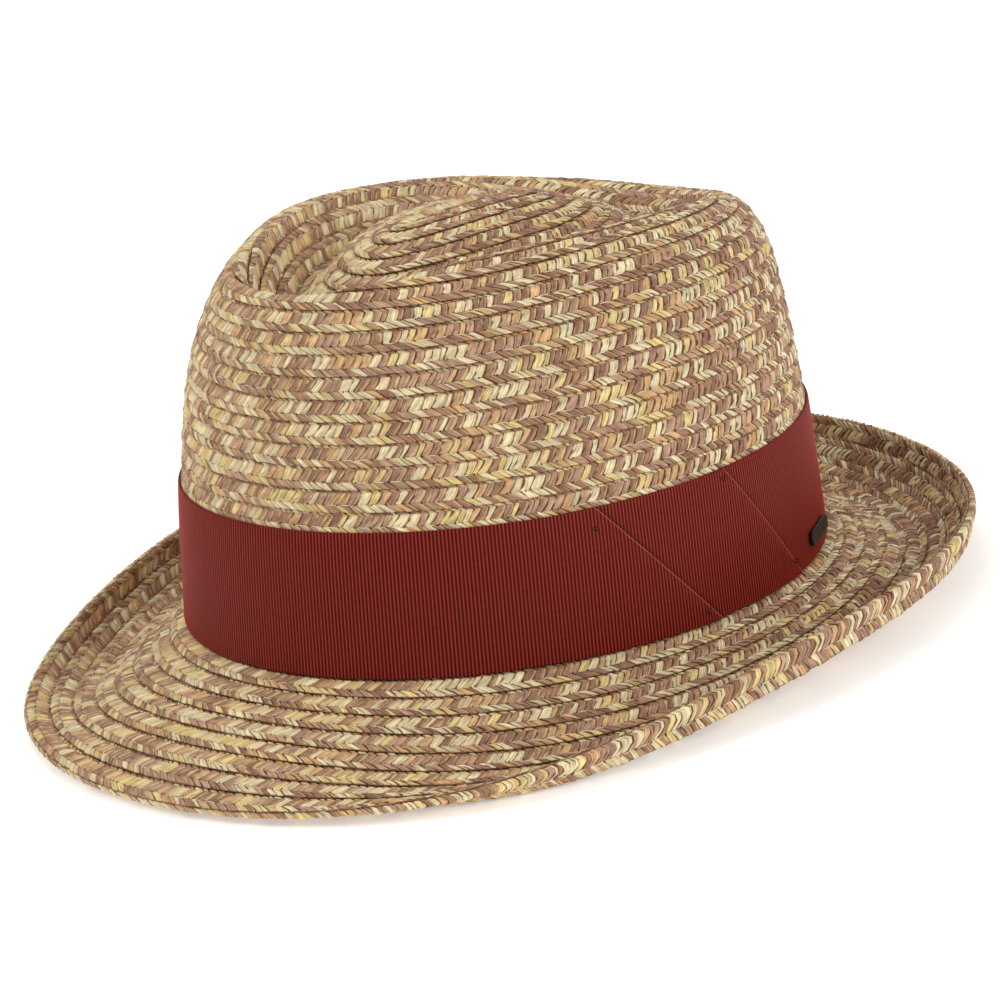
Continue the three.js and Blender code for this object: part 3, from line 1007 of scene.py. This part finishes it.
def brim_row(number):
    """Places one row of the brim between the crown's foot and the rim braid."""
    def place(angle, share, offset):
        length = brim_straw.length(angle)
        reach = (number + share) / BRIM_ROWS * (length - RIM_INSET + RIM_LAP)
        points = brim_straw.at(angle, reach / length, offset)
        inside = np.clip(reach, -SEAT_REACH, 0)
        return points + outward(angle) * inside[:, None]
    return place


def rim_row(angle, share, offset):
    """Places the last row, which bends round the rim onto the underside."""
    length = brim_straw.length(angle)
    reach = share * RIM_BRAID - RIM_ON_TOP
    at_rim = 1 - RIM_INSET / length
    rim = brim_straw.look_up(brim_straw.points, angle, at_rim)
    down = brim_straw.look_up(brim_straw.down, angle, at_rim)
    normal = brim_straw.look_up(brim_straw.normals, angle, at_rim)
    bend = np.clip(reach / RIM_RADIUS, 0, math.pi)
    radius = RIM_RADIUS + np.asarray(offset)
    bent = rim - normal * RIM_RADIUS
    bent = bent + (normal * np.cos(bend)[:, None] + down * np.sin(bend)[:, None]) * radius[:, None]
    under = np.maximum(reach - math.pi * RIM_RADIUS, 0)
    bent = bent - down * under[:, None]
    flat = brim_straw.at(angle, at_rim + np.minimum(reach, 0) / length, offset)
    return np.where((reach < 0)[:, None], flat, bent)


# The brim's first row lies flat against the ribbon, and the rim braid is thinner and lies lower
FIRST_ROW_TILT = (0.1, ROW_TILT_TO)
RIM_TILT = (-0.3, 0.2)
RIM_THICKNESS = 0.9

crown_top_rows = [BraidRow(crown_row(i)) for i in range(TOP_ROWS)]
crown_shoulder_rows = [BraidRow(crown_row(i)) for i in range(TOP_ROWS, TOP_ROWS + SHOULDER_ROWS)]
crown_wall_rows = [BraidRow(crown_row(i)) for i in range(TOP_ROWS + SHOULDER_ROWS, CROWN_ROWS)]
crown_foot_rows = [
    BraidRow(hidden_row(i), front=PLAIN_FACE, flatten=0.5, sink=0.35) for i in range(HIDDEN_ROWS)
]
brim_inner_rows = [BraidRow(brim_row(0), back=ROW_FACE, tilt=FIRST_ROW_TILT)]
brim_inner_rows += [BraidRow(brim_row(i), back=ROW_FACE) for i in range(1, BRIM_ROWS // 2)]
brim_outer_rows = [BraidRow(brim_row(i), back=ROW_FACE) for i in range(BRIM_ROWS // 2, BRIM_ROWS)]
rim_rows = [BraidRow(rim_row, front=RIM_FACE, thickness=RIM_THICKNESS, tilt=RIM_TILT,
                     strand_width=RIM_STRAND_WIDTH, run_chance=RIM_RUN_CHANCE)]


# Sewing thread

# The chance that a stitch shows, and that it does what the one before it does
STITCH_SHOWS = 0.5
STITCH_RUN = 0.75

# Where a stitch starts and ends, in stitch lengths along the seam, and the thread's height on its way
STITCH_FROM = 0.62
STITCH_TO = 1.34
THREAD_HEIGHTS = [-0.3, -0.06, 0.03, 0.03, -0.06, -0.3]

THREAD_RADIUS = 0.14
THREAD_SIDES = 5
THREAD_END = 0.35

# A direction that no thread follows, from which its sides are worked out
ASKEW = np.array([0.13, 0.21, 0.97])


def thread_tubes(paths, radius):
    """Tubes along paths of equal length, as points and quads, that narrow to small open ends."""
    paths = np.asarray(paths)
    count, steps, _ = paths.shape
    along = np.gradient(paths, axis=1)
    along /= np.linalg.norm(along, axis=2, keepdims=True)
    side = np.cross(along, ASKEW)
    side /= np.linalg.norm(side, axis=2, keepdims=True)
    up = np.cross(side, along)
    turns = np.arange(THREAD_SIDES) / THREAD_SIDES * TURN
    taper = np.ones(steps)
    taper[[0, -1]] = THREAD_END
    ring = np.cos(turns)[None, None, :, None] * side[:, :, None, :]
    ring = ring + np.sin(turns)[None, None, :, None] * up[:, :, None, :]
    points = paths[:, :, None, :] + ring * (radius * taper)[None, :, None, None]
    faces = []
    for step in range(steps - 1):
        for i in range(THREAD_SIDES):
            j = (i + 1) % THREAD_SIDES
            here = step * THREAD_SIDES
            there = here + THREAD_SIDES
            faces.append([here + i, here + j, there + j, there + i])
    faces = np.array(faces)[None] + (np.arange(count) * steps * THREAD_SIDES)[:, None, None]
    return points.reshape(-1, 3), faces.reshape(-1, 4)


def stitch_paths(row, dice):
    """Paths of the stitches that show along one row, between its needle holes."""
    count = int(row.total / STITCH_PITCH)
    shows = dice.random(count) < STITCH_SHOWS
    repeats = dice.random(count) < STITCH_RUN
    for i in range(1, count):
        if repeats[i]:
            shows[i] = shows[i - 1]
    starts = (np.nonzero(shows)[0] + STITCH_FROM) * STITCH_PITCH
    steps = np.linspace(0, 1, len(THREAD_HEIGHTS))
    span = (STITCH_TO - STITCH_FROM) * STITCH_PITCH
    paths = []
    for share, height in zip(steps, THREAD_HEIGHTS):
        paths.append(row.at(starts + span * share, SEAM_PLACE, np.full_like(starts, height)))
    return np.stack(paths, 1)


def sewing_thread(material, dice):
    """The stitches that show, on every open row."""
    rows = crown_top_rows + crown_shoulder_rows + crown_wall_rows
    rows += brim_inner_rows + brim_outer_rows + rim_rows
    paths = np.concatenate([stitch_paths(row, dice) for row in rows])
    points, faces = thread_tubes(paths, THREAD_RADIUS)
    piece, _ = new_piece("sewing_thread", points, faces, material)
    return piece


# Ribbon

# Ribs across the ribbon. They are drawn about as coarse as they need to be to show.
RIB_PITCH = 1.05
RIB_HEIGHT = 0.2
RIB_SHOULDER = 0.44
YARN_PITCH = 0.35

# The cloth: its thickness, how deep a rib's foot lies in it, the woven edge with its lower ribs, and the
# levels at which it is bent to the crown
RIBBON_CLOTH = 0.45
RIB_FOOT = 0.05
SELVEDGE = 0.6
SELVEDGE_RIBS = 0.25
RIBBON_LEVELS = 9

# A fold: the cloth that runs on under it, the spare that is cut off, the rounding of its edge, the width
# of its painted highlight and that of the painted shadow on the cloth below
UNDER_FOLD = 9
CUT_SPARE = 2
FOLD_ROUND = 0.7
FOLD_DROP = 0.28
FOLD_HIGHLIGHT_WIDTH = 0.5
TUCK_WIDTH = 1.8

# Cloth this near to its outer face is on it, and shorter edges than this are left out
SAME_LEVEL = 1e-4
SHORTEST_EDGE = 0.01

# Tack stitches at both ends of each fold: angle in degrees, height over the ribbon's lower edge
TACKS = [(61.5, 35.5), (88.0, 38.5), (81.0, 3.5), (106.0, 4.5)]

# The threads of a tack stitch: turn in radians and place along the ribbon, then their length, radius, and
# how far their middle stands up
TACK_THREADS = [(-0.3, -0.4), (0.2, 0), (1.1, 0.4)]
TACK_LENGTH = 2.2
TACK_RADIUS = 0.24
TACK_BOW = 0.25
TACK_STEPS = 6


def ribbon_lengths():
    """Distance round the crown at half the ribbon's height, for angles over two turns."""
    angles = np.linspace(0, 2 * TURN, 2 * LENGTH_STEPS + 1)
    middle = on_wall(angles, RIBBON_TOP / 2, np.full_like(angles, RIBBON_THICKNESS))
    steps = np.linalg.norm(np.diff(middle, axis=0), axis=1)
    return angles, np.concatenate([[0], np.cumsum(steps)])


RIBBON_ANGLES, RIBBON_LENGTHS = ribbon_lengths()


def ribbon_place(degrees):
    """The distance round the crown at an angle in degrees."""
    return float(np.interp(math.radians(degrees), RIBBON_ANGLES, RIBBON_LENGTHS))


def cut_along(cloth, bottom, top, keep_before):
    """Cuts the flat cloth along a fold line from its bottom edge to its top edge."""
    direction = Vector((top - bottom, RIBBON_WIDTH, 0)).normalized()
    across = Vector((direction.y, -direction.x, 0))
    geometry = cloth.verts[:] + cloth.edges[:] + cloth.faces[:]
    bmesh.ops.bisect_plane(
        cloth, geom=geometry, plane_co=(bottom, 0, 0), plane_no=across,
        clear_outer=keep_before, clear_inner=not keep_before,
    )


def flat_cloth(start, end, start_fold, end_fold):
    """Flat ribbed cloth between two distances, cut along the fold lines, with its two faces."""
    ribs = round((end - start) / RIB_PITCH)
    xs = []
    for rib in range(ribs):
        for fraction in (0, RIB_SHOULDER, 1 - RIB_SHOULDER):
            xs.append(start + (rib + fraction) * RIB_PITCH)
    xs.append(start + ribs * RIB_PITCH)
    inner_levels = np.linspace(SELVEDGE, RIBBON_WIDTH - SELVEDGE, RIBBON_LEVELS)
    levels = [0, *inner_levels, RIBBON_WIDTH]
    cloth = bmesh.new()
    grid = [[cloth.verts.new((x, y, 0)) for x in xs] for y in levels]
    for low, high in zip(grid[:-1], grid[1:]):
        for i in range(len(xs) - 1):
            cloth.faces.new((low[i], low[i + 1], high[i + 1], high[i]))
    cut_along(cloth, start_fold[1], start_fold[0], keep_before=False)
    cut_along(cloth, end_fold[1], end_fold[0], keep_before=True)
    bmesh.ops.dissolve_degenerate(cloth, dist=SHORTEST_EDGE, edges=cloth.edges[:])
    bmesh.ops.solidify(cloth, geom=cloth.faces[:], thickness=RIBBON_CLOTH)
    return cloth


def rib_height(x, start):
    """1 on a rib's crest, 0 in its grooves."""
    fraction = np.mod((x - start) / RIB_PITCH, 1)
    return np.clip(np.minimum(fraction, 1 - fraction) / RIB_SHOULDER, 0, 1)


def fold_at(fold, height):
    """Where a fold line is at a height, between its place at the top edge and at the bottom edge."""
    return fold[1] + (fold[0] - fold[1]) * height / RIBBON_WIDTH


def ribbon_mesh(cloths, material):
    """Wraps flat cloths round the crown's wall and joins them in one object. Each cloth comes with its
    start, the fold that it ends in and the fold that lies on it."""
    joined = bmesh.new()
    weave = joined.loops.layers.uv.new("weave")
    rib_layer = joined.verts.layers.float.new("rib")
    # How far each point lies before its fold and past the fold above it, for the painted highlight and
    # shadow
    fold_layer = joined.verts.layers.float.new("fold")
    tuck_layer = joined.verts.layers.float.new("tuck")
    for cloth, start, fold, under in cloths:
        flat = np.array([vert.co for vert in cloth.verts])
        outer = np.abs(flat[:, 2]) < SAME_LEVEL
        ribs = rib_height(flat[:, 0], start)
        at_fold = fold_at(fold, flat[:, 1])
        slope = math.hypot(fold[0] - fold[1], RIBBON_WIDTH) / RIBBON_WIDTH
        before_fold = np.maximum((at_fold - flat[:, 0]) / slope, 0)
        run = math.radians(PLEAT_RUN) * (HEAD_HALF_LENGTH + HEAD_HALF_WIDTH) / 2
        stand = PLEAT_STEP * np.clip(1 - before_fold / run, 0, 1)
        rounding = FOLD_DROP * np.clip(1 - before_fold / FOLD_ROUND, 0, 1) ** 2
        past_fold = (flat[:, 0] - fold_at(under, flat[:, 1])) / slope
        edge = np.minimum(flat[:, 1], RIBBON_WIDTH - flat[:, 1])
        ribbed = np.clip(edge / SELVEDGE, SELVEDGE_RIBS, 1)
        offset = SEWN_GAP + RIBBON_THICKNESS + stand - rounding
        offset = offset + np.where(outer, RIB_HEIGHT * ribs * ribbed - RIB_FOOT, -RIBBON_CLOTH)
        angle = np.interp(flat[:, 0], RIBBON_LENGTHS, RIBBON_ANGLES)
        places = settled(on_wall(angle, SEWN_GAP + flat[:, 1], offset))
        verts = []
        for place, rib, before, past in zip(places, ribs, before_fold, past_fold):
            vert = joined.verts.new(place)
            vert[rib_layer] = rib
            vert[fold_layer] = before
            vert[tuck_layer] = past
            verts.append(vert)
        cloth.verts.index_update()
        for face in cloth.faces:
            corners = [verts[vert.index] for vert in face.verts]
            new_face = joined.faces.new(corners)
            new_face.smooth = True
            for loop, vert in zip(new_face.loops, face.verts):
                loop[weave].uv = (vert.co.x, vert.co.y)
        cloth.free()
    return finished_piece("ribbon_band", joined, material)


def ribbon_band(material):
    """The ribbon starts under the second pleat, runs round the back and the front, and ends at the
    first fold; a short stretch between the folds lies under it."""
    first = [ribbon_place(angle) for angle in PLEATS[0]]
    second = [ribbon_place(angle) for angle in PLEATS[1]]
    whole_turn = ribbon_place(360)
    first_again = [place + whole_turn for place in first]
    short_start = min(first) - UNDER_FOLD - CUT_SPARE
    long_start = min(second) - UNDER_FOLD - CUT_SPARE
    short_cut = [place - UNDER_FOLD for place in first]
    long_cut = [place - UNDER_FOLD for place in second]
    short = flat_cloth(short_start, max(second) + CUT_SPARE, short_cut, second)
    long = flat_cloth(long_start, max(first_again) + CUT_SPARE, long_cut, first_again)
    cloths = [(short, short_start, second, first), (long, long_start, first_again, second)]
    return ribbon_mesh(cloths, material)


def ribbon_tacks(material):
    """Small knots of three short threads each."""
    paths = []
    for degrees, height in TACKS:
        place = ribbon_place(degrees)
        for turn, spread in TACK_THREADS:
            path = []
            for share in np.linspace(-0.5, 0.5, TACK_STEPS):
                x = place + spread + math.cos(turn) * share * TACK_LENGTH
                y = height + math.sin(turn) * share * TACK_LENGTH
                rise = RIBBON_THICKNESS + PLEAT_STEP + SEWN_GAP + TACK_BOW * (1 - (2 * share) ** 2)
                angle = np.interp([x], RIBBON_LENGTHS, RIBBON_ANGLES)
                path.append(on_wall(angle, SEWN_GAP + y, np.array([rise]))[0])
            paths.append(path)
    points, faces = thread_tubes(paths, TACK_RADIUS)
    piece, _ = new_piece("ribbon_tacks", points, faces, material)
    return piece


# Tab

# The bevel of the tab's edges, and the share of it where the front one is rounded off
TAB_BEVEL = 0.3
TAB_ROUNDING = 0.3
TAB_CORNER_STEPS = 12


def tab_outline(inset):
    """An oblong with round ends, drawn in by an inset."""
    radius = TAB_HEIGHT / 2 - inset
    straight = (TAB_LENGTH - TAB_HEIGHT) / 2
    points = []
    for centre, first in ((straight, -math.pi / 2), (-straight, math.pi / 2)):
        for step in range(TAB_CORNER_STEPS + 1):
            turn = first + math.pi * step / TAB_CORNER_STEPS
            points.append((centre + radius * math.cos(turn), radius * math.sin(turn)))
    return points


def tab_bar(material):
    """The bare enamelled bar with softly rounded edges."""
    angle = np.array([math.radians(TAB_ANGLE)])
    seat = on_wall(angle, TAB_ABOVE_BRIM, np.array([2 * SEWN_GAP + RIBBON_THICKNESS]))[0]
    up = on_wall(angle, RIBBON_WIDTH, np.zeros(1))[0] - on_wall(angle, 0, np.zeros(1))[0]
    up /= np.linalg.norm(up)
    side = np.cross(up, outward(angle)[0])
    side /= np.linalg.norm(side)
    face = np.cross(side, up)
    rounded = TAB_ROUNDING * TAB_BEVEL
    bevel = [(TAB_BEVEL, 0), (0, TAB_BEVEL), (0, TAB_THICKNESS - TAB_BEVEL)]
    bevel += [(rounded, TAB_THICKNESS - rounded), (TAB_BEVEL, TAB_THICKNESS)]
    bar = bmesh.new()
    rings = []
    for inset, height in bevel:
        places = [seat + side * x + up * y + face * height for x, y in tab_outline(inset)]
        rings.append([bar.verts.new(place) for place in settled(places)])
    for low, high in zip(rings[:-1], rings[1:]):
        for i in range(len(low)):
            j = (i + 1) % len(low)
            bar.faces.new((low[i], low[j], high[j], high[i])).smooth = True
    bar.faces.new(rings[0][::-1])
    bar.faces.new(rings[-1])
    return finished_piece("tab_bar", bar, material)


# Camera, at the photograph's angle to the hat. It looks past its target by a few pixels.
CAMERA_AZIMUTH = math.radians(43.34)
CAMERA_ELEVATION = math.radians(15.46)
CAMERA_ROLL = math.radians(-5.64)
CAMERA_DISTANCE = 1150
CAMERA_TARGET = (0, 0, 40)
FOCAL_PIXELS = 3924
AIM_LOWER_PIXELS = 64.2
AIM_RIGHT_PIXELS = 0.7
IMAGE_PIXELS = 1000
SENSOR_WIDTH = 36
CLIP_START = 0.05


def place_camera():
    """The camera of the photograph. It keeps colours as they are, so a dye shows at its own value."""
    bpy.context.scene.view_settings.view_transform = "Standard"
    back = Vector((
        math.sin(CAMERA_AZIMUTH) * math.cos(CAMERA_ELEVATION),
        -math.cos(CAMERA_AZIMUTH) * math.cos(CAMERA_ELEVATION),
        math.sin(CAMERA_ELEVATION),
    ))
    level = Vector((math.cos(CAMERA_AZIMUTH), math.sin(CAMERA_AZIMUTH), 0))
    upright = back.cross(level)
    right = level * math.cos(CAMERA_ROLL) + upright * math.sin(CAMERA_ROLL)
    up = upright * math.cos(CAMERA_ROLL) - level * math.sin(CAMERA_ROLL)
    centre = Vector(settled([CAMERA_TARGET])[0]) + turned(back) * CAMERA_DISTANCE * MM
    lower = math.atan(AIM_LOWER_PIXELS / FOCAL_PIXELS)
    sideways = math.atan(AIM_RIGHT_PIXELS / FOCAL_PIXELS)
    forward = -back * math.cos(lower) - up * math.sin(lower)
    up = up * math.cos(lower) - back * math.sin(lower)
    forward = forward * math.cos(sideways) + right * math.sin(sideways)
    right = forward.cross(up)
    frame_matrix = Matrix((turned(right), turned(up), turned(-forward))).transposed()
    data = bpy.data.cameras.new("photo_camera")
    data.sensor_width = SENSOR_WIDTH
    data.lens = SENSOR_WIDTH * FOCAL_PIXELS / IMAGE_PIXELS
    data.clip_start = CLIP_START
    camera = in_scene("photo_camera", data)
    camera.matrix_world = Matrix.Translation(centre) @ frame_matrix.to_4x4()
    bpy.context.scene.camera = camera


# Studio

# The floor's size in metres, and how far it lies under the hat in mm
FLOOR_SIZE = 30
FLOOR_DROP = 0.1
SURROUND_STRENGTH = 0.55

# Soft lights: place and size in metres, power in watts. They face a point in the hat.
SOFTBOXES = [
    ("key_softbox", (-0.8, -1.05, 1.3), 0.9, 8.5),
    ("side_softbox", (1.5, 0.1, 0.8), 0.8, 9.5),
    ("top_softbox", (-0.4, 0.2, 1.7), 0.8, 4.5),
]
LIT_POINT = (0, 0, 0.05)


def softbox(name, place, size, power):
    """A square area light that faces the hat."""
    data = bpy.data.lights.new(name, "AREA")
    data.shape = "SQUARE"
    data.size = size
    data.energy = power
    light = in_scene(name, data)
    aim = Vector(LIT_POINT) - Vector(place)
    light.matrix_world = Matrix.Translation(place) @ aim.to_track_quat("-Z", "Y").to_matrix().to_4x4()


def studio():
    """A pale paper floor, an even white surround and soft lights."""
    bpy.ops.mesh.primitive_plane_add(size=FLOOR_SIZE, location=(0, 0, -FLOOR_DROP * MM))
    floor = bpy.context.object
    floor.name = "paper_floor"
    paper = plain_material(
        "matt_paper", "FAFAF9", roughness=0.9, specular=0.1, mottle=0.005, grain=30, glow=0.35
    )
    floor.data.materials.append(paper)
    world = bpy.data.worlds.new("white_surround")
    world.use_nodes = True
    background = world.node_tree.nodes["Background"]
    background.inputs["Color"].default_value = (1, 1, 1, 1)
    background.inputs["Strength"].default_value = SURROUND_STRENGTH
    bpy.context.scene.world = world
    for name, place, size, power in SOFTBOXES:
        softbox(name, place, size, power)


# The hat's pieces

place_camera()
studio()
straw = paper_straw()
thread = plain_material("cotton_sewing_thread", "E2D7BC", roughness=0.8, specular=0.3)
tack_thread = plain_material("red_sewing_thread", "4E1A14", roughness=0.7, specular=0.3)
enamel = plain_material(
    "black_enamelled_steel", "101112", roughness=0.4, specular=0.2, mottle=0.05, grain=2
)
grosgrain = ribbed_ribbon()

# The braid's pieces: name, rows, the solid that they stand for, and the seed of their random draws
BRAID_PIECES = [
    ("crown_top_braid", crown_top_rows, "crown", 11),
    ("crown_shoulder_braid", crown_shoulder_rows, "crown", 17),
    ("crown_wall_braid", crown_wall_rows, "crown", 12),
    ("crown_foot_braid", crown_foot_rows, "crown", 13),
    ("brim_inner_braid", brim_inner_rows, "brim", 14),
    ("brim_outer_braid", brim_outer_rows, "brim", 15),
    ("brim_rim_braid", rim_rows, "brim", 16),
]
for name, rows, node, seed in BRAID_PIECES:
    piece = braid_piece(name, rows, straw, np.random.default_rng(seed))
    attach(piece, "root")
    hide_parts(node)

THREAD_SEED = 21
seams = sewing_thread(thread, np.random.default_rng(THREAD_SEED))
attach(seams, "root")

band = ribbon_band(grosgrain)
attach(band, "root")
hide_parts("ribbon")

tacks = ribbon_tacks(tack_thread)
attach(tacks, "root")

bar = tab_bar(enamel)
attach(bar, "root")
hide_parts("tab")
